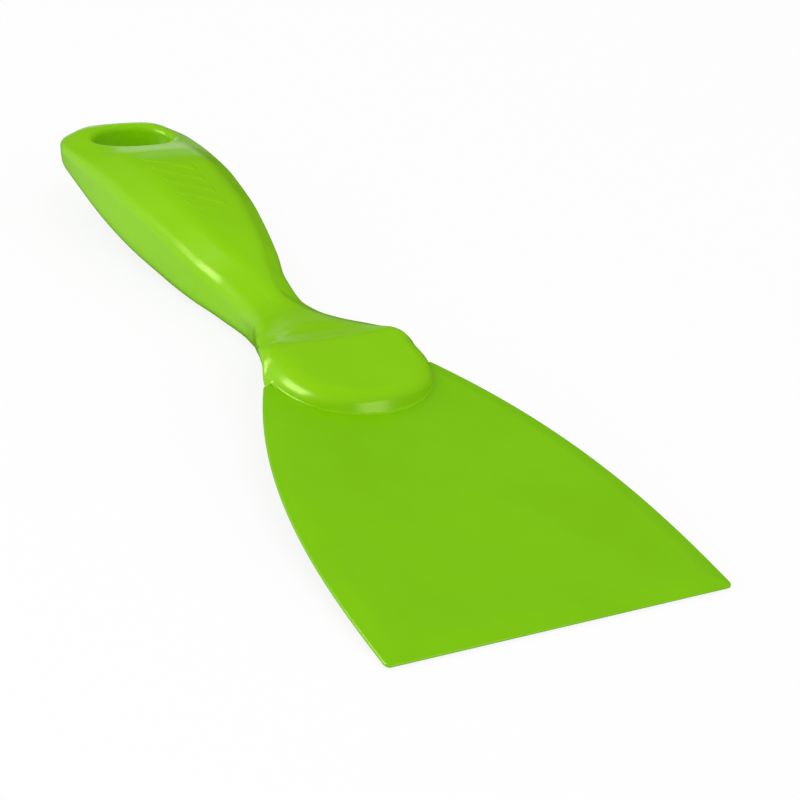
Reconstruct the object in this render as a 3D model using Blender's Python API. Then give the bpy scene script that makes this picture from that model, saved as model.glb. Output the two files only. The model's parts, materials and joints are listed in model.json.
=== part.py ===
"""Hand scraper: a broad flexible blade held in the bolster of a moulded, faceted grip.

Everything is modelled in the blade's own plane: X across the blade, Y from its front edge towards
the grip, Z up, zero at the middle of the blade's thickness. A parent empty then tips the whole tool
into the attitude in which it lies on a table, on the heel of the blade's front bevel and the belly
of the grip.
"""

import math

import bmesh
import bpy
from mathutils import Vector

# Blade
blade_width = 0.102
blade_length = 0.1065
blade_thickness = 0.0026
blade_rear_width = 0.0524
edge_thickness = 0.0009
front_bevel = 0.0048
side_bevel = 0.0052
corner_radius = 0.0016
flare_power_share = 2.55
blade_steps = 18

# Tang of the blade, inside the bolster
tang_width = 0.030
tang_length = 0.010
tang_thickness = 0.0016

# Bolster
bolster_width = 0.0472
bolster_length = 0.0296
bolster_lap = 0.0197
bolster_top = 0.0062
bolster_underside = 0.0016
bolster_fillet = 0.0036
fillet_spread = 0.0032
wall_lean = 0.0007
lower_fillet = 0.0016
ridge_fillet = 0.0014
ridge_bow = 0.0029
widest_share = 0.68
front_squareness_share = 0.98
rear_squareness_share = 0.71
top_squareness_share = 0.42
bolster_steps = 10
fillet_steps = 4
bolster_front = blade_length - bolster_lap
bolster_ridge = bolster_front + bolster_length
bolster_widest = bolster_front + widest_share * bolster_length

# Grip
tool_length = 0.2585
grip_width = 0.0424
grip_thickness = 0.0224
facet_crown = 0.0004

# Hanging hole
hole_width = 0.0254
hole_length = 0.0166
hole_from_end = 0.0158
hole_rim = 0.0020
hole_steps = 36
rim_turn_shares = (0, 0.28, 0.56, 0.80)
hole_centre = tool_length - hole_from_end

# Relief bars on the top facet: a slanted pattern, cut straight at its front
bar_count = 5
bar_width = 0.0040
bar_pitch = 0.0066
bar_height = 0.0003
bar_sink = 0.0005
bar_shoulder = 0.0003
bar_nose = 0.0008
bar_slant_share = 0.68
bar_steps = 6
panel_left = 0.0078
panel_right = 0.0044
panel_from_end = 0.0726
first_bar_set_back = 0.0015

# Fit between the pieces, and how far a cutter runs past what it cuts
seat_gap = 0.0003
overrun = 0.010
loft_start = blade_length + seat_gap

# Sections of the neck and grip, from the bolster to the end. Each row holds, as shares,
# the place along the grip, then half widths of the grip's width: crease, top facet, lower edge,
# then heights of the grip's thickness: top, crease, lower edge, bottom, and the edge roundness.
section_shares = (
    (0.000, 0.613, 0.50, 0.60, 0.090, 0.070, -0.060, -0.070, 0.50),
    (0.020, 0.570, 0.44, 0.54, 0.120, 0.080, -0.062, -0.071, 0.70),
    (0.045, 0.520, 0.38, 0.46, 0.155, 0.090, -0.065, -0.074, 0.80),
    (0.077, 0.500, 0.34, 0.43, 0.185, 0.100, -0.080, -0.100, 0.80),
    (0.101, 0.490, 0.31, 0.41, 0.165, 0.090, -0.130, -0.180, 0.80),
    (0.129, 0.450, 0.24, 0.35, 0.115, 0.045, -0.240, -0.310, 0.80),
    (0.174, 0.338, 0.14, 0.28, 0.040, -0.050, -0.440, -0.500, 0.75),
    (0.220, 0.267, 0.07, 0.235, 0.000, -0.125, -0.560, -0.610, 0.70),
    (0.272, 0.238, 0.03, 0.213, -0.010, -0.175, -0.620, -0.670, 0.60),
    (0.352, 0.268, 0.07, 0.248, 0.067, -0.180, -0.700, -0.735, 0.40),
    (0.431, 0.342, 0.15, 0.317, 0.138, -0.147, -0.740, -0.775, 0.30),
    (0.511, 0.397, 0.20, 0.367, 0.187, -0.085, -0.775, -0.805, 0.26),
    (0.604, 0.454, 0.243, 0.424, 0.219, -0.054, -0.775, -0.805, 0.26),
    (0.697, 0.495, 0.250, 0.465, 0.220, -0.060, -0.745, -0.775, 0.26),
    (0.776, 0.518, 0.262, 0.488, 0.120, -0.105, -0.680, -0.710, 0.32),
    (0.8455, 0.527, 0.285, 0.495, 0.000, -0.165, -0.620, -0.650, 0.42),
    (0.9034, 0.528, 0.310, 0.490, -0.070, -0.245, -0.590, -0.615, 0.52),
    (0.9517, 0.478, 0.300, 0.436, -0.125, -0.300, -0.570, -0.590, 0.65),
    (0.9855, 0.350, 0.210, 0.310, -0.220, -0.355, -0.545, -0.560, 0.80),
    (1.000, 0.150, 0.070, 0.120, -0.340, -0.420, -0.515, -0.520, 0.80),
)
belly_softness_share = 0.3
facet_split_share = 0.5
belly_split_share = 0.75
rings_per_span = 3
corner_steps = 4


def clear_scene():
    for old in list(bpy.data.objects):
        bpy.data.objects.remove(old, do_unlink=True)


def make_material(name, colour, roughness):
    material = bpy.data.materials.new(name)
    material.use_nodes = True
    shader = material.node_tree.nodes["Principled BSDF"]
    shader.inputs["Base Color"].default_value = (*colour, 1.0)
    shader.inputs["Roughness"].default_value = roughness
    shader.inputs["Metallic"].default_value = 0.0
    return material


def object_from(name, builder, material=None):
    mesh = bpy.data.meshes.new(name)
    builder.to_mesh(mesh)
    builder.free()
    made = bpy.data.objects.new(name, mesh)
    bpy.context.collection.objects.link(made)
    if material:
        mesh.materials.append(material)
    return made


def helper_from(name, builder):
    helper = object_from(name, builder)
    helper.hide_render = True
    helper.display_type = "WIRE"
    return helper


def combine(target, other, operation):
    modifier = target.modifiers.new(operation.title() + " " + other.name, "BOOLEAN")
    modifier.operation = operation
    modifier.solver = "EXACT"
    modifier.object = other


def skin_rings(builder, rings):
    """Closed loft: quads between neighbouring rings and one face over each end ring."""
    loops = [[builder.verts.new(point) for point in ring] for ring in rings]
    for near, far in zip(loops, loops[1:]):
        for i in range(len(near)):
            j = (i + 1) % len(near)
            builder.faces.new((near[i], near[j], far[j], far[i]))
    builder.faces.new(loops[0])
    builder.faces.new(loops[-1])
    bmesh.ops.recalc_face_normals(builder, faces=builder.faces)


def slab(builder, outline, low, high):
    """Prism over a plan outline."""
    base = [builder.verts.new((x, y, low)) for x, y in outline]
    top = [builder.verts.new((x, y, high)) for x, y in outline]
    for i in range(len(base)):
        j = (i + 1) % len(base)
        builder.faces.new((base[i], base[j], top[j], top[i]))
    builder.faces.new(base)
    builder.faces.new(top)
    bmesh.ops.recalc_face_normals(builder, faces=builder.faces)


def blade_half_width(y):
    """The sides flare from the bolster and run out almost square at the working edge."""
    flare = (blade_width - blade_rear_width) / 2
    return blade_width / 2 - flare * (y / blade_length) ** flare_power_share


def blade_outline(inset_side, inset_front):
    """Plan of the blade, drawn in from its sides and its front by the two insets."""
    right = []
    radius = corner_radius
    for i in range(corner_steps + 1):
        turn = math.pi / 2 * i / corner_steps
        x = blade_half_width(radius) - inset_side - radius * (1 - math.sin(turn))
        y = inset_front + radius * (1 - math.cos(turn))
        right.append((x, y))
    start = inset_front + radius
    for i in range(1, blade_steps + 1):
        y = start + (blade_length - start) * i / blade_steps
        right.append((blade_half_width(y) - inset_side, y))
    return right + [(-x, y) for x, y in reversed(right)]


def build_blade(material):
    """Flat plate with bevels on its front and sides, and a tang stepped in from its rear edge."""
    builder = bmesh.new()
    rim = blade_outline(0, 0)
    face = blade_outline(side_bevel, front_bevel)
    levels = (
        (face, -blade_thickness / 2),
        (rim, -edge_thickness / 2),
        (rim, edge_thickness / 2),
        (face, blade_thickness / 2),
    )
    rings = [[(x, y, z) for x, y in outline] for outline, z in levels]
    skin_rings(builder, rings)
    blade = object_from("blade", builder, material)
    tang = bmesh.new()
    root_y = blade_length - side_bevel
    tip_y = blade_length + tang_length
    half = tang_width / 2
    chamfer = tang_thickness
    plan = (
        (half, root_y),
        (half, tip_y - chamfer),
        (half - chamfer, tip_y),
        (chamfer - half, tip_y),
        (-half, tip_y - chamfer),
        (-half, root_y),
    )
    slab(tang, plan, -tang_thickness / 2, tang_thickness / 2)
    combine(blade, helper_from("tang_shape", tang), "UNION")
    return blade


def smooth_between(rows, share):
    """Row of values at a share of the length, on a monotone cubic through the table's rows."""
    places = [row[0] for row in rows]
    i = max(k for k in range(len(rows) - 1) if places[k] <= share or k == 0)
    span = places[i + 1] - places[i]
    t = (share - places[i]) / span

    def slope(k, column):
        if k == 0 or k == len(rows) - 1:
            return 0.0 if k == 0 else end_slope(column)
        before = (rows[k][column] - rows[k - 1][column]) / (places[k] - places[k - 1])
        after = (rows[k + 1][column] - rows[k][column]) / (places[k + 1] - places[k])
        if before * after <= 0:
            return 0.0
        return 2 * before * after / (before + after)

    def end_slope(column):
        return (rows[-1][column] - rows[-2][column]) / (places[-1] - places[-2])

    values = []
    for column in range(1, len(rows[0])):
        start, end = rows[i][column], rows[i + 1][column]
        a = slope(i, column) * span
        b = slope(i + 1, column) * span
        cubic = start * (2 * t**3 - 3 * t**2 + 1) + a * (t**3 - 2 * t**2 + t)
        values.append(cubic + end * (3 * t**2 - 2 * t**3) + b * (t**3 - t**2))
    return values


def rounded_corner(before, corner, after, roundness):
    """Points on a soft corner between two flats."""
    start = corner.lerp(before, roundness / 2)
    end = corner.lerp(after, roundness / 2)
    points = []
    for k in range(corner_steps + 1):
        t = k / corner_steps
        points.append(start.lerp(corner, t).lerp(corner.lerp(end, t), t))
    return points


def grip_ring(share):
    """One closed section of the neck or grip, faceted like the real moulding."""
    crease, facet, lower, top, crease_z, lower_z, bottom, roundness = smooth_between(section_shares, share)
    y = loft_start + share * (tool_length - loft_start)
    high = Vector((0.0, top * grip_thickness))
    facet_edge = Vector((facet * grip_width, top * grip_thickness - facet_crown))
    side = Vector((crease * grip_width, crease_z * grip_thickness))
    low_edge = Vector((lower * grip_width, lower_z * grip_thickness))
    low = Vector((0.0, bottom * grip_thickness))
    half = [high, high.lerp(facet_edge, facet_split_share)]
    half += rounded_corner(high, facet_edge, side, roundness)
    half += rounded_corner(facet_edge, side, low_edge, roundness)
    half += rounded_corner(side, low_edge, low, min(1.0, roundness + belly_softness_share))
    half += [low_edge.lerp(low, belly_split_share), low]
    whole = half + [Vector((-p.x, p.y)) for p in reversed(half[1:-1])]
    return [(p.x, y, p.y) for p in whole]


def build_grip(material):
    shares = [row[0] for row in section_shares]
    places = []
    for near, far in zip(shares, shares[1:]):
        places += [near + (far - near) * k / rings_per_span for k in range(rings_per_span)]
    places.append(shares[-1])
    builder = bmesh.new()
    skin_rings(builder, [grip_ring(share) for share in places])
    return object_from("handle", builder, material)


def bolster_outline(rear_squareness):
    """Plan of the bolster: a blunt round front, then shorter corners that end in a bowed ridge."""
    half = bolster_width / 2
    quarters = (
        (bolster_front - bolster_widest, front_squareness_share, 0),
        (bolster_ridge - bolster_widest, rear_squareness, ridge_bow),
    )
    front, rear = [], []
    for run, (depth, squareness, bow) in zip((front, rear), quarters):
        for i in range(bolster_steps + 1):
            turn = math.pi / 2 * i / bolster_steps
            across = math.sin(turn) ** squareness
            reach = depth + bow * across**2
            run.append((half * across, bolster_widest + reach * math.cos(turn) ** squareness))
    right = front + list(reversed(rear))[1:]
    return right + [(-x, y) for x, y in reversed(right[1:-1])]


def outline_normals(outline):
    """Outward unit normals of a closed plan outline that runs anticlockwise."""
    normals = []
    for i in range(len(outline)):
        before = Vector(outline[i - 1])
        after = Vector(outline[(i + 1) % len(outline)])
        along = (after - before).normalized()
        normals.append(Vector((along.y, -along.x)))
    return normals


def build_bolster():
    """Pad over the blade, lofted up its plan: round lower edge, leaning wall, round top edge.

    The top edge is fullest round the front and the ends and closes up to a crisp ridge behind,
    and the rear corners get squarer on the way up.
    """
    face = blade_thickness / 2
    low_plan = bolster_outline(rear_squareness_share)
    low_normals = outline_normals(low_plan)
    rings = []
    for k in range(fillet_steps + 1):
        turn = math.pi / 2 * k / fillet_steps
        inset = lower_fillet * (1 - math.sin(turn))
        z = -bolster_underside + lower_fillet * (1 - math.cos(turn))
        rings.append([(x - n.x * inset, y - n.y * inset, z) for (x, y), n in zip(low_plan, low_normals)])
    for k in range(fillet_steps + 1):
        turn = math.pi / 2 * k / fillet_steps
        rise = (bolster_top - bolster_fillet * (1 - math.sin(turn)) - face) / (bolster_top - face)
        plan = bolster_outline(rear_squareness_share + (top_squareness_share - rear_squareness_share) * rise)
        ring = []
        for (x, y), normal in zip(plan, outline_normals(plan)):
            backward = max(0.0, normal.y) ** 2
            drop = bolster_fillet + (ridge_fillet - bolster_fillet) * backward
            spread = fillet_spread + (ridge_fillet - fillet_spread) * backward
            inset = wall_lean * rise + spread * (1 - math.cos(turn))
            z = bolster_top - drop * (1 - math.sin(turn))
            ring.append((x - normal.x * inset, y - normal.y * inset, z))
        rings.append(ring)
    builder = bmesh.new()
    skin_rings(builder, rings)
    return helper_from("bolster_shape", builder)


def surface_height(x, y, upper):
    """Height of the grip's upper or lower skin over a point of its plan."""
    ring = grip_ring((y - loft_start) / (tool_length - loft_start))
    half = ring[: len(ring) // 2 + 1]
    widest = max(range(len(half)), key=lambda i: half[i][0])
    run = half[: widest + 1] if upper else half[widest:]
    x = min(abs(x), max(point[0] for point in run))
    for near, far in zip(run, run[1:]):
        low, high = sorted((near[0], far[0]))
        if low <= x <= high and high > low:
            t = (x - near[0]) / (far[0] - near[0])
            return near[2] + t * (far[2] - near[2])
    return run[0][2] if upper else run[-1][2]


def build_relief_bars():
    """Slanted bars that stand just proud of the top facet, each lofted along its own run."""
    panel_front = tool_length - panel_from_end
    builder = bmesh.new()
    for i in range(bar_count):
        start = panel_front - first_bar_set_back + i * bar_pitch
        room = start + bar_width - panel_front - bar_nose
        right = min(panel_right, room / bar_slant_share)
        rings = []
        for k in range(bar_steps + 1):
            x = -panel_left + (panel_left + right) * k / bar_steps
            front = max(start - bar_slant_share * x, panel_front)
            rear = start + bar_width - bar_slant_share * x
            profile = (
                (front, -bar_sink),
                (front, 0),
                (front + bar_shoulder, bar_height),
                (rear - bar_shoulder, bar_height),
                (rear, 0),
                (rear, -bar_sink),
            )
            rings.append([(x, y, surface_height(x, y, True) + rise) for y, rise in profile])
        skin_rings(builder, rings)
    return helper_from("relief_bars_shape", builder)


def oval(offset):
    """Plan of the hanging hole, grown by an offset."""
    points = []
    for i in range(hole_steps):
        turn = 2 * math.pi * i / hole_steps
        x = (hole_width / 2 + offset) * math.sin(turn)
        points.append((x, hole_centre + (hole_length / 2 + offset) * math.cos(turn)))
    return points


def build_hole_cutter():
    """Oval through-hole whose rim is rounded over on both faces of the grip."""
    quarter = [math.pi / 2 * share for share in rim_turn_shares]
    lip = quarter[-1]
    rings = []
    for upper in (False, True):
        side = 1 if upper else -1
        run = []
        for turn in quarter:
            offset = hole_rim * (1 - math.cos(turn))
            depth = hole_rim * (1 - math.sin(turn))
            points = oval(offset)
            run.append([(x, y, surface_height(x, y, upper) - side * depth) for x, y in points])
        clear = hole_rim * (1 - math.cos(lip)) + overrun * math.sin(lip)
        rise = overrun * math.cos(lip) - hole_rim * (1 - math.sin(lip))
        mouth = [surface_height(x, y, upper) for x, y in oval(hole_rim)]
        run.append([(x, y, z + side * rise) for (x, y), z in zip(oval(clear), mouth)])
        rings += run if upper else reversed(run)
    builder = bmesh.new()
    skin_rings(builder, rings)
    return helper_from("hole_cutter", builder)


def build_seat_cutter():
    """Room in the bolster for the blade and its tang, with the seat gap all round."""
    builder = bmesh.new()
    half = blade_width / 2
    rear = blade_length + seat_gap
    plate = ((half, 0), (half, rear), (-half, rear), (-half, 0))
    slab(builder, plate, -bolster_underside - overrun, blade_thickness / 2 + seat_gap)
    plate_cutter = helper_from("plate_cutter", builder)
    builder = bmesh.new()
    half = tang_width / 2 + seat_gap
    tip = blade_length + tang_length + seat_gap
    mouth = blade_length - side_bevel
    pocket = ((half, mouth), (half, tip), (-half, tip), (-half, mouth))
    slab(builder, pocket, -tang_thickness / 2 - seat_gap, tang_thickness / 2 + seat_gap)
    return plate_cutter, helper_from("tang_cutter", builder)


def rest_attitude(points):
    """Angle at which the heel of the front bevel and the belly of the grip both touch the table."""
    steepest = 0.0
    for point in points:
        if point.y > blade_length:
            steepest = max(steepest, math.atan2(-blade_thickness / 2 - point.z, point.y - front_bevel))
    return steepest


def lay_on_table(pieces):
    """Tip the tool about X, then centre its box over the origin with its lowest point at zero."""
    bpy.context.view_layer.update()
    graph = bpy.context.evaluated_depsgraph_get()
    points = []
    for piece in pieces:
        mesh = piece.evaluated_get(graph).to_mesh()
        points += [vert.co.copy() for vert in mesh.vertices]
        piece.evaluated_get(graph).to_mesh_clear()
    stand = bpy.data.objects.new("resting_attitude", None)
    bpy.context.collection.objects.link(stand)
    stand.rotation_euler.x = rest_attitude(points)
    turn = stand.rotation_euler.to_matrix()
    turned = [turn @ point for point in points]
    stand.location.x = -(min(p.x for p in turned) + max(p.x for p in turned)) / 2
    stand.location.y = -(min(p.y for p in turned) + max(p.y for p in turned)) / 2
    stand.location.z = -min(p.z for p in turned)
    for shape in [shape for shape in bpy.data.objects if shape.type == "MESH"]:
        shape.parent = stand
    print("rest angle", math.degrees(stand.rotation_euler.x), "offset", tuple(stand.location))


def main():
    clear_scene()
    lime = make_material("lime polypropylene", (0.22, 0.54, 0.003), 0.35)
    lime_blade = make_material("lime polypropylene, blade", (0.20, 0.52, 0.003), 0.4)
    blade = build_blade(lime_blade)
    handle = build_grip(lime)
    combine(handle, build_bolster(), "UNION")
    combine(handle, build_relief_bars(), "UNION")
    for cutter in (*build_seat_cutter(), build_hole_cutter()):
        combine(handle, cutter, "DIFFERENCE")
    lay_on_table((blade, handle))


main()
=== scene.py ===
import json
import math

import bmesh
import bpy
import numpy as np
from mathutils import Matrix, Vector

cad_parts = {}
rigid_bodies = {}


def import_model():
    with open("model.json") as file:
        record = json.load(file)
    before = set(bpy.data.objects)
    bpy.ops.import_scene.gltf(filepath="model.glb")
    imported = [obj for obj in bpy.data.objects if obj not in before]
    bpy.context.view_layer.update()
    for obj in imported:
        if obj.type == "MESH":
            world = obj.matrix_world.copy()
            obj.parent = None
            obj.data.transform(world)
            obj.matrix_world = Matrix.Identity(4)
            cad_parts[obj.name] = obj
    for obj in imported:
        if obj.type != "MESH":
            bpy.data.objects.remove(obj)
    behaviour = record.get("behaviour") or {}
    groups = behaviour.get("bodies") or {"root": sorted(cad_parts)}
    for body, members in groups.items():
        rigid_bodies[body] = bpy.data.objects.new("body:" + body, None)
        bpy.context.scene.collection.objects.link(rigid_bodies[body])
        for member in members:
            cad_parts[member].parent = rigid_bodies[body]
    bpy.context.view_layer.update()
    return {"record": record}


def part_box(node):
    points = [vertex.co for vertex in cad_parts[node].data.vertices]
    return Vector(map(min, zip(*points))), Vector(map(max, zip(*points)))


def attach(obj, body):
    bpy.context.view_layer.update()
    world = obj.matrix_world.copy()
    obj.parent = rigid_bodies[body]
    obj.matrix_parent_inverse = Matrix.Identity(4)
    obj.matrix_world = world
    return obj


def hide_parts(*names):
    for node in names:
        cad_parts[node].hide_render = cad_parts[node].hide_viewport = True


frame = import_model()

# Everything is drawn in the blade's own plane: x across, y from the working edge, z up.
# layDown then tips it into the resting attitude that the frame has.
blade = {
    "width": 0.102,
    "rearWidth": 0.0524,
    "length": 0.1065,
    "thickness": 0.0026,
    "rim": 0.00045,                                # half the thickness of the working edge
    "heel": 0.0048,                                # where the solid's front bevel meets the table
    "bevel": 0.0056,
    "bevelCurve": 1.35,
    "flarePower": 2.55,
    "cornerRadius": 0.0016,
    "bevelMeet": 0.0015,                           # how softly the side and front bevels meet
    "columns": 141,
    "rows": 161,
}


def restingMatrix():
    mounts = {mount["name"]: mount for mount in frame["record"]["mounts"]}
    down = mounts["blade_underside"]["axis"]
    tilt = math.atan2(down[1], -down[2])
    low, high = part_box("blade")
    edgeY = low.y + blade["rim"] * math.sin(tilt)
    edgeZ = low.z + blade["thickness"] / 2 * math.cos(tilt) - blade["heel"] * math.sin(tilt)
    return Matrix.Translation((0, edgeY, edgeZ)) @ Matrix.Rotation(tilt, 4, "X")


layDown = restingMatrix()
print("stage: frame loaded, tilt", round(math.degrees(layDown.to_euler().x), 3))


# Materials


def newMaterial(name):
    material = bpy.data.materials.new(name)
    material.use_nodes = True
    tree = material.node_tree
    return material, tree, tree.nodes["Principled BSDF"]


def addNode(tree, kind, **settings):
    node = tree.nodes.new(kind)
    for key, value in settings.items():
        if hasattr(node, key):
            setattr(node, key, value)
        else:
            node.inputs[key].default_value = value
    return node


plasticLook = {
    "handleColour": (0.252, 0.628, 0.0),
    "bladeColour": (0.209, 0.572, 0.0),
    "sheenTint": (1.0, 1.0, 0.45),                 # the lime tone carries into the soft highlights
    "shade": 0.03,                                 # how far the cloudy tone goes from the colour
    "cloudScale": 38.0,
    "grainScale": 2600.0,                          # spark-eroded mould grain
    "grainHeight": 0.000004,
    "rippleScale": 210.0,                          # slow flow of the moulding
    "rippleHeight": 0.000012,
    "roughLow": 0.20,
    "roughHigh": 0.28,
}


def limePlastic(name, colour, look, grainShare=1.0):
    material, tree, shader = newMaterial(name)
    place = addNode(tree, "ShaderNodeTexCoord")
    cloud = addNode(tree, "ShaderNodeTexNoise", Scale=look["cloudScale"], Detail=3.0, Roughness=0.55)
    tone = addNode(tree, "ShaderNodeValToRGB")
    darker = [c * (1 - look["shade"]) for c in colour]
    lighter = [c * (1 + look["shade"]) for c in colour]
    tone.color_ramp.elements[0].position = 0.3
    tone.color_ramp.elements[1].position = 0.7
    tone.color_ramp.elements[0].color = (*darker, 1)
    tone.color_ramp.elements[1].color = (*lighter, 1)
    rough = addNode(tree, "ShaderNodeMapRange")
    rough.inputs["To Min"].default_value = look["roughLow"]
    rough.inputs["To Max"].default_value = look["roughHigh"]
    patch = addNode(tree, "ShaderNodeTexNoise", Scale=look["cloudScale"] * 2.3, Detail=4.0)
    grain = addNode(tree, "ShaderNodeTexNoise", Scale=look["grainScale"], Detail=2.0)
    ripple = addNode(tree, "ShaderNodeTexNoise", Scale=look["rippleScale"], Detail=1.0)
    grainBump = addNode(tree, "ShaderNodeBump", Strength=0.5 * grainShare)
    grainBump.inputs["Distance"].default_value = look["grainHeight"]
    rippleBump = addNode(tree, "ShaderNodeBump", Strength=0.5)
    rippleBump.inputs["Distance"].default_value = look["rippleHeight"]
    link = tree.links.new
    for texture in (cloud, patch, grain, ripple):
        link(place.outputs["Object"], texture.inputs["Vector"])
    link(cloud.outputs["Fac"], tone.inputs["Fac"])
    link(tone.outputs["Color"], shader.inputs["Base Color"])
    link(patch.outputs["Fac"], rough.inputs["Value"])
    link(rough.outputs["Result"], shader.inputs["Roughness"])
    link(grain.outputs["Fac"], grainBump.inputs["Height"])
    link(ripple.outputs["Fac"], rippleBump.inputs["Height"])
    link(rippleBump.outputs["Normal"], grainBump.inputs["Normal"])
    link(grainBump.outputs["Normal"], shader.inputs["Normal"])
    shader.inputs["IOR"].default_value = 1.49
    shader.inputs["Specular Tint"].default_value = (*look["sheenTint"], 1)
    return material


handlePlastic = limePlastic("lime polypropylene, satin", plasticLook["handleColour"], plasticLook)
bladePlastic = limePlastic("lime polypropylene, fine satin", plasticLook["bladeColour"], plasticLook, 0.7)


# Handle: a smooth blend of grip, bolster and hanging hole, skinned on a fine grid

handle = {
    "length": 0.2585,
    "neckRoot": 0.1068,
    "neckFront": 0.1060,                           # the flare laps a little over the blade's rear edge
    "rearOfBlade": 0.1063,
    "width": 0.0424,
    "depth": 0.0224,
    "facetCrown": 0.0003,
    "bellySoftness": 0.1,                          # how much softer the lower edges are
    "endSoftness": 0.0010,
    "gridStep": 0.00055,
    "gridMargin": 0.002,
    "weldShare": 0.3,
    "relaxShare": 0.5,
    "longestStep": 0.0003,                         # of one move back onto the field
    "leastSlope": 0.05,                            # squared, so that flat places don't throw a vertex off
}
# share of the length, then half widths: crease, top facet, lower edge,
# then heights: top, crease, lower edge, bottom, and how soft the edges are
sectionShares = np.array((
    (0.000, 0.604, 0.45, 0.590, 0.222, 0.012, -0.052, -0.062, 0.50),
    (0.020, 0.588, 0.48, 0.555, 0.222, 0.035, -0.058, -0.068, 0.60),
    (0.045, 0.562, 0.492, 0.510, 0.222, 0.145, -0.063, -0.072, 0.68),
    (0.077, 0.533, 0.435, 0.470, 0.216, 0.170, -0.080, -0.100, 0.80),
    (0.101, 0.496, 0.34, 0.435, 0.192, 0.115, -0.130, -0.180, 0.85),
    (0.129, 0.447, 0.20, 0.385, 0.165, 0.055, -0.240, -0.310, 0.85),
    (0.174, 0.345, 0.14, 0.30, 0.092, -0.050, -0.440, -0.500, 0.85),
    (0.220, 0.267, 0.08, 0.235, 0.030, -0.125, -0.560, -0.610, 0.80),
    (0.272, 0.238, 0.04, 0.213, 0.010, -0.175, -0.620, -0.670, 0.75),
    (0.352, 0.268, 0.07, 0.248, 0.067, -0.180, -0.700, -0.735, 0.70),
    (0.431, 0.342, 0.15, 0.317, 0.138, -0.147, -0.740, -0.775, 0.55),
    (0.511, 0.397, 0.20, 0.367, 0.187, -0.085, -0.775, -0.805, 0.52),
    (0.604, 0.454, 0.243, 0.424, 0.219, -0.054, -0.775, -0.805, 0.50),
    (0.697, 0.495, 0.250, 0.465, 0.220, -0.060, -0.745, -0.775, 0.50),
    (0.776, 0.518, 0.262, 0.488, 0.132, -0.105, -0.680, -0.710, 0.50),
    (0.8455, 0.527, 0.285, 0.495, -0.010, -0.165, -0.620, -0.650, 0.52),
    (0.9034, 0.528, 0.310, 0.490, -0.080, -0.245, -0.590, -0.615, 0.56),
    (0.9517, 0.478, 0.300, 0.436, -0.125, -0.300, -0.570, -0.590, 0.65),
    (0.9855, 0.350, 0.210, 0.310, -0.220, -0.355, -0.545, -0.560, 0.80),
    (1.000, 0.150, 0.070, 0.120, -0.340, -0.420, -0.515, -0.520, 0.80),
))

bolster = {
    "width": 0.0472,
    "front": 0.0868,
    "widest": 0.1069,
    "ridge": 0.1160,
    "ridgeBow": 0.0029,                            # the ridge's ends lie this much further back
    "top": 0.0062,
    "crown": 0.00025,
    "underside": 0.0016,
    "frontPower": 2.05,                            # superellipse of the outline before the widest place
    "rearPower": (2.8, 6.5),                       # and behind it, at the blade's face and at the top
    "side": (0.0043, 0.0058, 0.12),                # rounding down, rounding in, and draft of the wall
    "nose": (0.0021, 0.0033, 0.42),
    "ridgeEdge": (0.0008, 0.0030, 0.12),
    "lowerRound": 0.0016,
    "neckBlend": 0.0004,                           # hollow between the bolster and the neck
    "lift": (0.0013, 0.0010, 0.0028, 0.0080),      # ridge slope: height, crest, run behind, run before
    "frontRound": 0.0009,                          # front edge of the neck, at the blade's rear edge
    "bladeBlend": 0.0005,                          # hollow where the bolster meets the blade
    "sunk": 0.0006,                                # how far it goes under the blade's face
    "skirtSunk": 0.00004,                          # the same for the hollow round it
}

hole = {
    "width": 0.0254,
    "length": 0.0166,
    "centre": 0.2427,
    "rimRound": 0.0022,
}


def sectionAt(y):
    # monotone cubic through the rows, column by column
    rows = sectionShares
    places = rows[:, 0]
    run = np.diff(places)
    share = np.clip((y - handle["neckRoot"]) / (handle["length"] - handle["neckRoot"]), 0, 1)
    i = np.clip(np.searchsorted(places, share, side="right") - 1, 0, len(rows) - 2)
    t = (share - places[i]) / run[i]
    columns = []
    for column in range(1, rows.shape[1]):
        value = rows[:, column]
        step = np.diff(value) / run
        before, after = step[:-1], step[1:]
        product = before * after
        total = np.where(before + after == 0, 1, before + after)
        slope = np.zeros(len(rows))
        slope[1:-1] = np.where(product > 0, 2 * product / total, 0)
        slope[-1] = step[-1]
        rise, fall = slope[i] * run[i], slope[i + 1] * run[i]
        cubic = value[i] * (2 * t**3 - 3 * t**2 + 1) + rise * (t**3 - 2 * t**2 + t)
        columns.append(cubic + value[i + 1] * (3 * t**2 - 2 * t**3) + fall * (t**3 - t**2))
    return columns


def softMax(a, b, blend):
    gap = np.maximum(blend - np.abs(a - b), 0) / blend
    return np.maximum(a, b) + gap * gap * blend / 4


def roundCut(a, b, radius):
    # the inside of both, with a round outer edge
    corner = np.hypot(np.maximum(a + radius, 0), np.maximum(b + radius, 0))
    return np.minimum(np.maximum(a, b), -radius) + corner


def roundJoin(a, b, radius):
    # either of the two, with a round hollow between them
    corner = np.hypot(np.maximum(radius - a, 0), np.maximum(radius - b, 0))
    return np.maximum(np.minimum(a, b), radius) - corner


class Flank:
    # straight side of the section, from (x0, z0) down to (x1, z1), facing outward
    def __init__(self, x0, z0, x1, z1):
        self.start = x0, z0
        self.length = np.hypot(x1 - x0, z1 - z0)
        self.normal = (z0 - z1) / self.length, (x1 - x0) / self.length

    def distance(self, x, z):
        return (x - self.start[0]) * self.normal[0] + (z - self.start[1]) * self.normal[1]


def softCorner(a, b, first, second, soft):
    # blend whose ends lie at the given share of the shorter side, as in the solid's rounded corners
    sine = first.normal[0] * second.normal[1] - first.normal[1] * second.normal[0]
    reach = np.minimum(first.length, second.length) * soft / 2
    return softMax(a, b, np.maximum(np.abs(sine) * reach, 0.00002))


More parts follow.
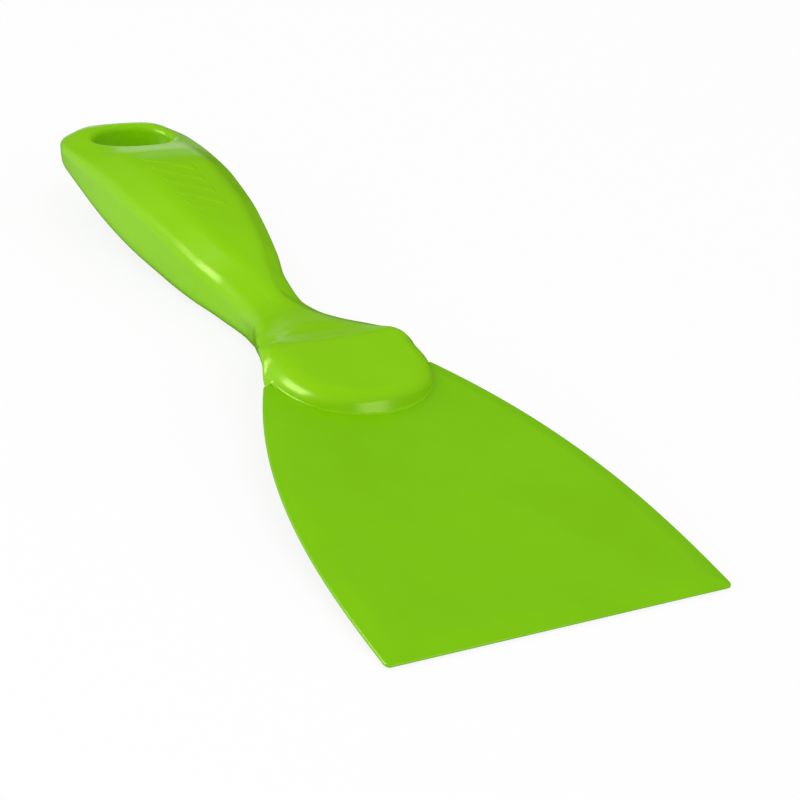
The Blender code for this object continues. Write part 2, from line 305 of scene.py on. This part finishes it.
def ridgeLift(x, y):
    # the neck climbs in a soft slope to the ridge at the rear of the bolster's top
    height, crest, behind, before = bolster["lift"]
    bow = bolster["ridgeBow"] * np.minimum(2 * x / bolster["width"], 1) ** 2
    past = y - bolster["ridge"] - bow
    rear = (past + np.hypot(past, crest)) / 2
    front = (np.hypot(past, crest) - past) / 2
    return height * np.exp(-rear / behind) * np.exp(-(front / before) ** 2)


def gripField(x, y, z):
    crease, facet, lower, top, creaseZ, lowerZ, bottom, soft = sectionAt(y)
    crease, facet, lower = (value * handle["width"] for value in (crease, facet, lower))
    top, creaseZ, lowerZ, bottom = (value * handle["depth"] for value in (top, creaseZ, lowerZ, bottom))
    top = top + ridgeLift(x, y)
    facetZ = top - handle["facetCrown"]
    roof = Flank(0 * facet, top, facet, facetZ)
    upper = Flank(facet, facetZ, crease, creaseZ)
    side = Flank(crease, creaseZ, lower, lowerZ)
    belly = Flank(lower, lowerZ, 0 * facet, bottom)
    onRoof = z - top + handle["facetCrown"] * np.minimum((x / facet) ** 2, 4)
    onBelly = bottom + (lowerZ - bottom) * np.minimum((x / lower) ** 2, 4) - z
    field = softCorner(onRoof, upper.distance(x, z), roof, upper, soft)
    field = softCorner(field, side.distance(x, z), upper, side, soft)
    lowSoft = np.minimum(soft + handle["bellySoftness"], 1)
    field = softCorner(field, onBelly, side, belly, lowSoft)
    field = softMax(field, y - handle["length"], handle["endSoftness"])
    return roundCut(field, handle["neckFront"] - y, bolster["frontRound"])


def ovalField(x, y, halfX, halfY, power):
    # distance from the outline, true near it, and how far its normal looks lengthwise
    u, v = np.abs(x / halfX), np.abs(y / halfY)
    total = np.maximum(u**power + v**power, 1e-4)
    size = total ** (1 / power)
    along = total ** (1 / power - 1)
    slopeX = along * u ** (power - 1) / halfX
    slopeY = along * v ** (power - 1) / halfY
    steep = np.maximum(np.hypot(slopeX, slopeY), 1e-6)
    return np.maximum((size - 1) / steep, -0.02), slopeY / steep


def bolsterOutline(x, y, z):
    rear = y > bolster["widest"]
    half, low = bolster["width"] / 2, blade["thickness"] / 2
    bow = bolster["ridgeBow"] * np.minimum(x / half, 1) ** 2
    depth = bolster["ridge"] - bolster["widest"] + bow
    share = np.clip((z - low) / (bolster["top"] - low), 0, 1)
    lowPower, topPower = bolster["rearPower"]
    reach = np.where(rear, depth, bolster["widest"] - bolster["front"])
    power = np.where(rear, lowPower + (topPower - lowPower) * share, bolster["frontPower"])
    outline, lengthwise = ovalField(x, y - bolster["widest"], half, reach, power)
    return outline, np.where(rear, lengthwise, 0), np.where(rear, 0, lengthwise) ** 3


def bolsterField(x, y, z):
    outline, backward, forward = bolsterOutline(x, y, z)
    sideways = 1 - backward - forward
    edges = zip(bolster["side"], bolster["nose"], bolster["ridgeEdge"])
    drop, spread, draft = (a * sideways + b * forward + c * backward for a, b, c in edges)
    outline = outline + draft * (z - blade["thickness"] / 2)
    topZ = bolster["top"] - bolster["crown"] * (2 * x / bolster["width"]) ** 2
    inward = np.maximum(1 + outline / spread, 0)
    upward = np.maximum(1 + (z - topZ) / drop, 0)
    field = (np.hypot(inward, upward) - 1) * drop
    return roundCut(field, -bolster["underside"] - z, bolster["lowerRound"])


def handleField(points):
    x, y, z = np.abs(points[:, 0]), points[:, 1], points[:, 2]
    face = blade["thickness"] / 2
    pad = bolsterField(x, y, z)
    field = roundJoin(pad, gripField(x, y, z), bolster["neckBlend"])
    # a small hollow where the bolster meets the blade
    outline, backward, forward = bolsterOutline(x, y, z)
    skirt = roundJoin(pad, z - face + bolster["skirtSunk"], bolster["bladeBlend"])
    skirt = np.maximum(skirt, outline - bolster["bladeBlend"])
    skirt = np.maximum(skirt, y - handle["rearOfBlade"])
    field = np.minimum(field, skirt)
    # room for the blade: the bolster sinks just under its face
    slot = np.maximum(y - handle["rearOfBlade"], z - face + bolster["sunk"])
    field = np.maximum(field, -slot)
    rim, lengthwise = ovalField(x, y - hole["centre"], hole["width"] / 2, hole["length"] / 2, 2)
    return roundCut(field, -rim, hole["rimRound"])


def skinField(field, low, high, step):
    # one vertex in each grid cell that the surface crosses, one face for each grid edge that it cuts
    axes = [np.arange(a, b + step, step) for a, b in zip(low, high)]
    shape = [len(axis) for axis in axes]
    values = np.empty(shape)
    for i, x in enumerate(axes[0]):
        grid = np.stack(np.meshgrid(x, axes[1], axes[2], indexing="ij"), -1).reshape(-1, 3)
        values[i] = field(grid).reshape(shape[1:])
    corners = [(i, j, k) for i in (0, 1) for j in (0, 1) for k in (0, 1)]
    cell = [n - 1 for n in shape]

    def cornerValues(corner):
        i, j, k = corner
        return values[i:i + cell[0], j:j + cell[1], k:k + cell[2]]

    inside = sum((cornerValues(corner) < 0).astype(int) for corner in corners)
    active = np.argwhere((inside > 0) & (inside < 8))
    number = -np.ones(cell, int)
    number[tuple(active.T)] = np.arange(len(active))
    total = np.zeros((len(active), 3))
    count = np.zeros(len(active))
    for a in corners:
        for axis in range(3):
            if a[axis]:
                continue
            b = tuple(a[n] + (n == axis) for n in range(3))
            va = values[tuple((active + a).T)]
            vb = values[tuple((active + b).T)]
            cut = (va < 0) != (vb < 0)
            t = np.where(cut, va / np.where(va == vb, 1, va - vb), 0)
            place = np.array(a) + np.outer(t, np.eye(3)[axis])
            total += place * cut[:, None]
            count += cut
    verts = (active + total / count[:, None]) * step + np.array([axis[0] for axis in axes])
    faces = []
    for axis in range(3):
        u, v = (axis + 1) % 3, (axis + 2) % 3
        head = [slice(None)] * 3
        tail = [slice(None)] * 3
        head[axis], tail[axis] = slice(0, -1), slice(1, None)
        first, second = values[tuple(head)] < 0, values[tuple(tail)] < 0
        edge = np.argwhere(first != second)
        keep = (edge[:, u] > 0) & (edge[:, v] > 0) & (edge[:, u] < cell[u]) & (edge[:, v] < cell[v])
        edge = edge[keep]
        ring = []
        for du, dv in ((-1, -1), (0, -1), (0, 0), (-1, 0)):
            around = edge.copy()
            around[:, u] += du
            around[:, v] += dv
            ring.append(number[tuple(around.T)])
        quad = np.stack(ring, 1)
        outward = first[tuple(edge.T)]
        quad[~outward] = quad[~outward][:, ::-1]
        faces.append(quad)
    return verts, np.concatenate(faces)


def fieldSlope(verts, field, reach=0.00004):
    slope = np.zeros_like(verts)
    for axis in range(3):
        shift = np.zeros(3)
        shift[axis] = reach
        slope[:, axis] = (field(verts + shift) - field(verts - shift)) / (2 * reach)
    return slope


def seatOnField(verts, field, rounds):
    # Newton steps along the field's slope
    for turn in range(rounds):
        value = field(verts)
        slope = fieldSlope(verts, field)
        size = np.maximum((slope**2).sum(1), handle["leastSlope"])
        step = -value[:, None] * slope / size[:, None]
        length = np.maximum(np.linalg.norm(step, axis=1, keepdims=True), 1e-12)
        verts = verts + step * np.minimum(1, handle["longestStep"] / length)
    return verts


def relax(verts, faces, share):
    total = np.zeros_like(verts)
    count = np.zeros(len(verts))
    for n in range(4):
        a, b = faces[:, n], faces[:, (n + 1) % 4]
        for this, other in ((a, b), (b, a)):
            np.add.at(total, this, verts[other])
            np.add.at(count, this, 1)
    return verts + (total / count[:, None] - verts) * share


def meshPiece(name, verts, faces, material):
    mesh = bpy.data.meshes.new(name)
    mesh.from_pydata([tuple(v) for v in verts], [], [tuple(int(n) for n in f) for f in faces])
    mesh.materials.append(material)
    piece = bpy.data.objects.new(name, mesh)
    bpy.context.scene.collection.objects.link(piece)
    mesh.shade_smooth()
    return piece


def buildHandle():
    half = sectionShares[:, 1].max() * handle["width"] + handle["gridMargin"]
    low = (-half, bolster["front"] - handle["gridMargin"], -handle["depth"])
    high = (half, handle["length"] + handle["gridMargin"], bolster["top"] + handle["gridMargin"])
    verts, faces = skinField(handleField, low, high, handle["gridStep"])
    for turn in range(2):
        verts = seatOnField(verts, handleField, 2)
        verts = relax(verts, faces, handle["relaxShare"])
    verts = seatOnField(verts, handleField, 3)
    skin = meshPiece("handleSkin", verts, faces, handlePlastic)
    # slivers go, and the shading follows the field itself
    welded = bmesh.new()
    welded.from_mesh(skin.data)
    bmesh.ops.remove_doubles(welded, verts=welded.verts, dist=handle["gridStep"] * handle["weldShare"])
    welded.to_mesh(skin.data)
    welded.free()
    verts = np.array([vert.co for vert in skin.data.vertices])
    slope = fieldSlope(verts, handleField)
    slope /= np.maximum(np.linalg.norm(slope, axis=1, keepdims=True), 1e-9)
    skin.data.normals_split_custom_set_from_vertices([tuple(line) for line in slope])
    return skin


handleSkin = buildHandle()
print("stage: handle", len(handleSkin.data.polygons), "faces")


# Geometry nodes helper


class NodeSheet:
    # thin wrapper that keeps a geometry tree's building lines short
    def __init__(self, name, sizes):
        self.tree = bpy.data.node_groups.new(name, "GeometryNodeTree")
        face = self.tree.interface
        face.new_socket("Geometry", in_out="INPUT", socket_type="NodeSocketGeometry")
        face.new_socket("Geometry", in_out="OUTPUT", socket_type="NodeSocketGeometry")
        self.ids = {}
        for label, value in sizes.items():
            kind = "NodeSocketInt" if isinstance(value, int) else "NodeSocketFloat"
            kind = "NodeSocketObject" if isinstance(value, bpy.types.Object) else kind
            self.ids[label] = face.new_socket(label, in_out="INPUT", socket_type=kind).identifier
        self.start = self.tree.nodes.new("NodeGroupInput")
        self.end = self.tree.nodes.new("NodeGroupOutput")
        self.sizes = sizes

    def size(self, label):
        return self.start.outputs[label]

    def plug(self, value, socket):
        if isinstance(value, bpy.types.NodeSocket):
            self.tree.links.new(value, socket)
        else:
            socket.default_value = value

    def node(self, kind, outlet=0, settings=None, **inputs):
        made = self.tree.nodes.new(kind)
        for key, value in (settings or {}).items():
            setattr(made, key, value)
        for key, value in inputs.items():
            self.plug(value, made.inputs[key.replace("_", " ")])
        return made.outputs[outlet]

    def math(self, operation, *values):
        made = self.tree.nodes.new("ShaderNodeMath")
        made.operation = operation
        for value, socket in zip(values, made.inputs):
            self.plug(value, socket)
        return made.outputs[0]

    def sheets(self, flat, x, y, height, depth):
        # the flat grid, raised to a top sheet and lowered to an underside, joined along their common border
        parts = []
        for z in (height, depth):
            place = self.node("ShaderNodeCombineXYZ", X=x, Y=y, Z=z)
            parts.append(self.node("GeometryNodeSetPosition", Geometry=flat, Position=place))
        parts[1] = self.node("GeometryNodeFlipFaces", Mesh=parts[1])
        joined = self.tree.nodes.new("GeometryNodeJoinGeometry")
        for part in reversed(parts):
            self.tree.links.new(part, joined.inputs[0])
        return self.node("GeometryNodeMergeByDistance", Geometry=joined.outputs[0], Distance=2e-6)

    def finish(self, geometry, material):
        real = self.node("GeometryNodeRealizeInstances", Geometry=geometry)
        smooth = self.node("GeometryNodeSetShadeSmooth", Geometry=real)
        done = self.node("GeometryNodeSetMaterial", Geometry=smooth, Material=material)
        self.tree.links.new(done, self.end.inputs[0])

    def grow(self, name):
        # runs the tree on an empty mesh and returns the plain result
        host = bpy.data.objects.new(name + "Host", bpy.data.meshes.new(name + "Host"))
        bpy.context.scene.collection.objects.link(host)
        modifier = host.modifiers.new(name, "NODES")
        modifier.node_group = self.tree
        for label, value in self.sizes.items():
            modifier[self.ids[label]] = value
        bpy.context.view_layer.update()
        graph = bpy.context.evaluated_depsgraph_get()
        mesh = bpy.data.meshes.new_from_object(host.evaluated_get(graph))
        mesh.name = name
        host.modifiers.remove(modifier)
        bpy.data.objects.remove(host)
        piece = bpy.data.objects.new(name, mesh)
        bpy.context.scene.collection.objects.link(piece)
        return piece


# Blade: two sheets on one rule


def growBlade():
    sheet = NodeSheet("bladePlate", blade)
    calc, size = sheet.math, sheet.size
    flat = sheet.node(
        "GeometryNodeMeshGrid", Size_X=2.0, Size_Y=1.0,
        Vertices_X=size("columns"), Vertices_Y=size("rows"))
    place = sheet.tree.nodes.new("ShaderNodeSeparateXYZ")
    sheet.tree.links.new(sheet.node("GeometryNodeInputPosition"), place.inputs[0])
    across = calc("SINE", calc("MULTIPLY", place.outputs["X"], math.pi / 2))
    along = calc("MULTIPLY_ADD", calc("SINE", calc("MULTIPLY", place.outputs["Y"], math.pi)), 0.5, 0.5)
    y = calc("MULTIPLY", along, size("length"))
    flare = calc("MULTIPLY", calc("SUBTRACT", size("width"), size("rearWidth")), 0.5)
    taper = calc("MULTIPLY", flare, calc("POWER", along, size("flarePower")))
    # the two front corners are rounded in plan
    radius = size("cornerRadius")
    short = calc("MAXIMUM", calc("SUBTRACT", radius, y), 0.0)
    chord = calc("SUBTRACT", calc("MULTIPLY", radius, radius), calc("MULTIPLY", short, short))
    corner = calc("SUBTRACT", radius, calc("SQRT", calc("MAXIMUM", chord, 0.0)))
    half = calc("MULTIPLY", size("width"), 0.5)
    half = calc("SUBTRACT", calc("SUBTRACT", half, taper), corner)
    x = calc("MULTIPLY", across, half)
    # distance in from the nearest edge drives the bevel and the round rim
    side = calc("MULTIPLY", calc("SUBTRACT", 1.0, calc("ABSOLUTE", across)), half)
    rear = calc("SUBTRACT", size("length"), y)
    inset = calc("SMOOTH_MIN", side, y, size("bevelMeet"))
    share = calc("MINIMUM", calc("DIVIDE", calc("MAXIMUM", inset, 0.0), size("bevel")), 1.0)
    curve = calc("SUBTRACT", 1.0, calc("POWER", calc("SUBTRACT", 1.0, share), size("bevelCurve")))
    body = calc("SUBTRACT", calc("MULTIPLY", size("thickness"), 0.5), size("rim"))
    rise = calc("MULTIPLY_ADD", curve, body, size("rim"))
    nearest = calc("MINIMUM", calc("MINIMUM", side, y), rear)
    rim = calc("MINIMUM", calc("DIVIDE", nearest, size("rim")), 1.0)
    left = calc("SUBTRACT", 1.0, rim)
    rounding = calc("SQRT", calc("MAXIMUM", calc("SUBTRACT", 1.0, calc("MULTIPLY", left, left)), 0.0))
    height = calc("MULTIPLY", rise, rounding)
    depth = calc("MULTIPLY", height, -1.0)
    sheet.finish(sheet.sheets(flat, x, y, height, depth), bladePlastic)
    return sheet.grow("bladePlate")


bladePlate = growBlade()
print("stage: blade", len(bladePlate.data.polygons), "faces")


# Relief bars on the top facet: one slanted bar, repeated, and laid on the grip by a ray

reliefBars = {
    "count": 5,
    "pitch": 0.0066,
    "barWidth": 0.0040,
    "slant": 0.68,                                 # run to the front for each step to the right
    "firstY": 0.1844,                              # front edge of the first bar, on the middle line
    "frontY": 0.1859,                              # the panel is cut straight here
    "leftX": 0.0075,
    "leftWiden": 0.065,
    "rightX": 0.0044,
    "height": 0.0003,
    "edge": 0.0007,
    "endRun": 0.012,                               # length that the shoulder at a bar's ends is measured on
    "sideRun": 0.8,                                # turns a run along y into the distance from a slanted side
    "seat": 0.00006,                               # how far the bars' border lies under the skin
    "below": 0.0003,                               # how far the middle goes under it
    "rayStart": 0.05,
    "rayLength": 0.2,
    "columns": 61,
    "rows": 21,
}


def growBars():
    bars = dict(reliefBars, grip=handleSkin)
    sheet = NodeSheet("reliefBars", bars)
    calc, size = sheet.math, sheet.size
    line = sheet.node("GeometryNodeMeshLine", Count=size("count"), Offset=(0, 0, 0))
    one = sheet.node(
        "GeometryNodeMeshGrid", Size_X=1.0, Size_Y=1.0,
        Vertices_X=size("columns"), Vertices_Y=size("rows"))
    index = sheet.node("GeometryNodeInputIndex")
    numbered = sheet.node(
        "GeometryNodeStoreNamedAttribute", Geometry=line, Name="bar", Value=index,
        settings={"data_type": "FLOAT", "domain": "POINT"})
    many = sheet.node("GeometryNodeInstanceOnPoints", Points=numbered, Instance=one)
    flat = sheet.node("GeometryNodeRealizeInstances", Geometry=many)
    order = sheet.node("GeometryNodeInputNamedAttribute", Name="bar", settings={"data_type": "FLOAT"})
    place = sheet.tree.nodes.new("ShaderNodeSeparateXYZ")
    sheet.tree.links.new(sheet.node("GeometryNodeInputPosition"), place.inputs[0])
    s = calc("ADD", place.outputs["X"], 0.5)
    t = calc("ADD", place.outputs["Y"], 0.5)
    front = calc("MULTIPLY_ADD", order, size("pitch"), size("firstY"))
    begin = calc("ADD", front, calc("MULTIPLY", size("leftX"), size("slant")))
    widen = calc("MULTIPLY", calc("SUBTRACT", begin, size("frontY")), size("leftWiden"))
    left = calc("MULTIPLY", calc("ADD", size("leftX"), widen), -1.0)
    x = calc("ADD", left, calc("MULTIPLY", s, calc("SUBTRACT", size("rightX"), left)))
    slid = calc("MULTIPLY_ADD", x, calc("MULTIPLY", size("slant"), -1.0), front)
    free = calc("MULTIPLY_ADD", t, size("barWidth"), slid)
    y = calc("MAXIMUM", free, size("frontY"))
    # soft shoulder round the bar
    ends = calc("MULTIPLY", calc("MINIMUM", s, calc("SUBTRACT", 1.0, s)), size("endRun"))
    ahead = calc("SUBTRACT", y, slid)
    behind = calc("SUBTRACT", size("barWidth"), ahead)
    sides = calc("MULTIPLY", calc("MINIMUM", ahead, behind), size("sideRun"))
    cut = calc("SUBTRACT", y, size("frontY"))
    nearest = calc("MINIMUM", calc("MINIMUM", ends, sides), cut)
    share = calc("MINIMUM", calc("MAXIMUM", calc("DIVIDE", nearest, size("edge")), 0.0), 1.0)
    squared = calc("MULTIPLY", share, share)
    soft = calc("MULTIPLY", squared, calc("SUBTRACT", 3.0, calc("MULTIPLY", share, 2.0)))
    lift = calc("MULTIPLY", soft, size("height"))
    target = sheet.tree.nodes.new("GeometryNodeObjectInfo")
    sheet.plug(size("grip"), target.inputs["Object"])
    ray = sheet.tree.nodes.new("GeometryNodeRaycast")
    sheet.tree.links.new(target.outputs["Geometry"], ray.inputs["Target Geometry"])
    above = sheet.node("ShaderNodeCombineXYZ", X=x, Y=y, Z=size("rayStart"))
    sheet.plug(above, ray.inputs["Source Position"])
    ray.inputs["Ray Direction"].default_value = (0, 0, -1)
    sheet.plug(size("rayLength"), ray.inputs["Ray Length"])
    hit = sheet.tree.nodes.new("ShaderNodeSeparateXYZ")
    sheet.tree.links.new(ray.outputs["Hit Position"], hit.inputs[0])
    ground = calc("SUBTRACT", hit.outputs["Z"], size("seat"))
    height = calc("ADD", ground, lift)
    depth = calc("SUBTRACT", ground, calc("MULTIPLY", soft, size("below")))
    sheet.finish(sheet.sheets(flat, x, y, height, depth), handlePlastic)
    return sheet.grow("gripReliefBars")


gripBars = growBars()
print("stage: relief bars", len(gripBars.data.polygons), "faces")


# Pieces into the frame

for piece, node, slotName in (
    (handleSkin, "handle", "handle_plastic"),
    (bladePlate, "blade", "blade_plastic"),
    (gripBars, None, "handle_plastic"),
):
    piece.data.transform(layDown)
    piece.data.update()
    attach(piece, "root")
    if node:
        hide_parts(node)


# Camera, floor and light

photoCamera = {
    "eye": (-0.299099, -0.291476, 0.314082),       # in the blade's plane
    "heading": -0.674403,
    "down": 0.568314,
    "roll": 0.248145,
    "lens": 99.0,
    "sensor": 36.0,
}


def placeCamera():
    heading, down, roll = photoCamera["heading"], photoCamera["down"], photoCamera["roll"]
    ahead = Vector((-math.sin(heading) * math.cos(down), math.cos(heading) * math.cos(down), -math.sin(down)))
    level = Vector((math.cos(heading), math.sin(heading), 0))
    above = level.cross(ahead)
    right = level * math.cos(roll) + above * math.sin(roll)
    up = above * math.cos(roll) - level * math.sin(roll)
    turn = Matrix((right, up, -ahead)).transposed().to_4x4()
    data = bpy.data.cameras.new("photoCamera")
    data.lens = photoCamera["lens"]
    data.sensor_width = photoCamera["sensor"]
    data.clip_start = 0.01
    camera = bpy.data.objects.new("photoCamera", data)
    bpy.context.scene.collection.objects.link(camera)
    camera.matrix_world = layDown @ Matrix.Translation(photoCamera["eye"]) @ turn
    bpy.context.scene.camera = camera


studio = {
    "floorSize": 8.0,
    "floorWhite": 0.92,
    "floorGlow": 0.86,                             # share of plain white that the camera sees on the floor
    "worldLight": 0.95,
    "roomDark": 0.02,                              # what reflections see of the room beside the two cards
    # direction of a card in the mirrored room, where it starts and is full (cosines), and its strength
    "leftCard": ((-0.87, 0.50, 0.0), 0.30, 1.05, 0.9),
    "rearCard": ((0.34, 0.94, -0.05), 0.955, 0.992, 0.7),
    # place, size and power of a lamp
    "leftGlint": ((-0.398, 0.014, 0.296), (0.36, 0.30), 2.8),
    "frontGlint": ((0.285, -0.93, 0.13), (0.50, 0.24), 1.8),
    "leftWash": ((-0.67, -0.18, 0.40), (0.6, 0.6), 1.0),
}


def buildFloor():
    mesh = bpy.data.meshes.new("floor")
    half = studio["floorSize"] / 2
    corners = [(-half, -half, 0), (half, -half, 0), (half, half, 0), (-half, half, 0)]
    mesh.from_pydata(corners, [], [(0, 1, 2, 3)])
    floor = bpy.data.objects.new("floor", mesh)
    bpy.context.scene.collection.objects.link(floor)
    material, tree, shader = newMaterial("plain pale floor")
    shader.inputs["Base Color"].default_value = (*[studio["floorWhite"]] * 3, 1)
    shader.inputs["Roughness"].default_value = 0.9
    shader.inputs["Specular IOR Level"].default_value = 0.0
    rays = addNode(tree, "ShaderNodeLightPath")
    glow = addNode(tree, "ShaderNodeEmission", Strength=1.0)
    mix = addNode(tree, "ShaderNodeMixShader")
    share = addNode(tree, "ShaderNodeMath", operation="MULTIPLY")
    share.inputs[1].default_value = studio["floorGlow"]
    link = tree.links.new
    link(rays.outputs["Is Camera Ray"], share.inputs[0])
    link(share.outputs[0], mix.inputs[0])
    link(shader.outputs[0], mix.inputs[1])
    link(glow.outputs[0], mix.inputs[2])
    link(mix.outputs[0], tree.nodes["Material Output"].inputs["Surface"])
    mesh.materials.append(material)
    floor.visible_glossy = False


def buildWorld():
    world = bpy.data.worlds.new("studioWorld")
    world.use_nodes = True
    tree = world.node_tree
    tree.nodes.clear()
    link = tree.links.new
    rays = addNode(tree, "ShaderNodeLightPath")
    place = addNode(tree, "ShaderNodeTexCoord")
    both = addNode(tree, "ShaderNodeMath", operation="MAXIMUM")
    for socket, (aim, start, full, strength) in zip(both.inputs, (studio["leftCard"], studio["rearCard"])):
        toCard = addNode(tree, "ShaderNodeVectorMath", operation="DOT_PRODUCT")
        toCard.inputs[1].default_value = aim
        card = addNode(tree, "ShaderNodeMapRange", interpolation_type="SMOOTHSTEP")
        ends = start, full, studio["roomDark"], strength
        for label, value in zip(("From Min", "From Max", "To Min", "To Max"), ends):
            card.inputs[label].default_value = value
        link(place.outputs["Generated"], toCard.inputs[0])
        link(toCard.outputs["Value"], card.inputs["Value"])
        link(card.outputs["Result"], socket)
    soft = addNode(tree, "ShaderNodeBackground", Strength=studio["worldLight"])
    mirror = addNode(tree, "ShaderNodeBackground")
    white = addNode(tree, "ShaderNodeBackground", Strength=1.0)
    for shader in (soft, mirror, white):
        shader.inputs["Color"].default_value = (1, 1, 1, 1)
    first = addNode(tree, "ShaderNodeMixShader")
    second = addNode(tree, "ShaderNodeMixShader")
    seen = addNode(tree, "ShaderNodeMath", operation="MAXIMUM")
    out = addNode(tree, "ShaderNodeOutputWorld")
    link(both.outputs[0], mirror.inputs["Strength"])
    link(rays.outputs["Is Glossy Ray"], first.inputs[0])
    link(soft.outputs[0], first.inputs[1])
    link(mirror.outputs[0], first.inputs[2])
    link(rays.outputs["Is Camera Ray"], seen.inputs[0])
    link(rays.outputs["Is Transmission Ray"], seen.inputs[1])
    link(seen.outputs[0], second.inputs[0])
    link(first.outputs[0], second.inputs[1])
    link(white.outputs[0], second.inputs[2])
    link(second.outputs[0], out.inputs["Surface"])
    world.cycles.sampling_method = "NONE"          # so that reflections see the mirrored room alone
    bpy.context.scene.world = world


def softBox(name, lights):
    place, size, power = studio[name]
    data = bpy.data.lights.new(name, "AREA")
    data.shape = "RECTANGLE"
    data.size, data.size_y = size
    data.energy = power
    lamp = bpy.data.objects.new(name, data)
    bpy.context.scene.collection.objects.link(lamp)
    lamp.visible_camera = False
    # a glint is a bright card for the highlights alone, a wash only lights
    lamp.visible_diffuse = lights
    lamp.visible_glossy = not lights
    lamp.location = place
    lamp.rotation_euler = (-Vector(place)).to_track_quat("-Z", "Y").to_euler()


placeCamera()
buildFloor()
buildWorld()
softBox("leftGlint", False)
softBox("frontGlint", False)
softBox("leftWash", True)
bpy.context.scene.view_settings.view_transform = "Standard"
print("stage: camera and light")
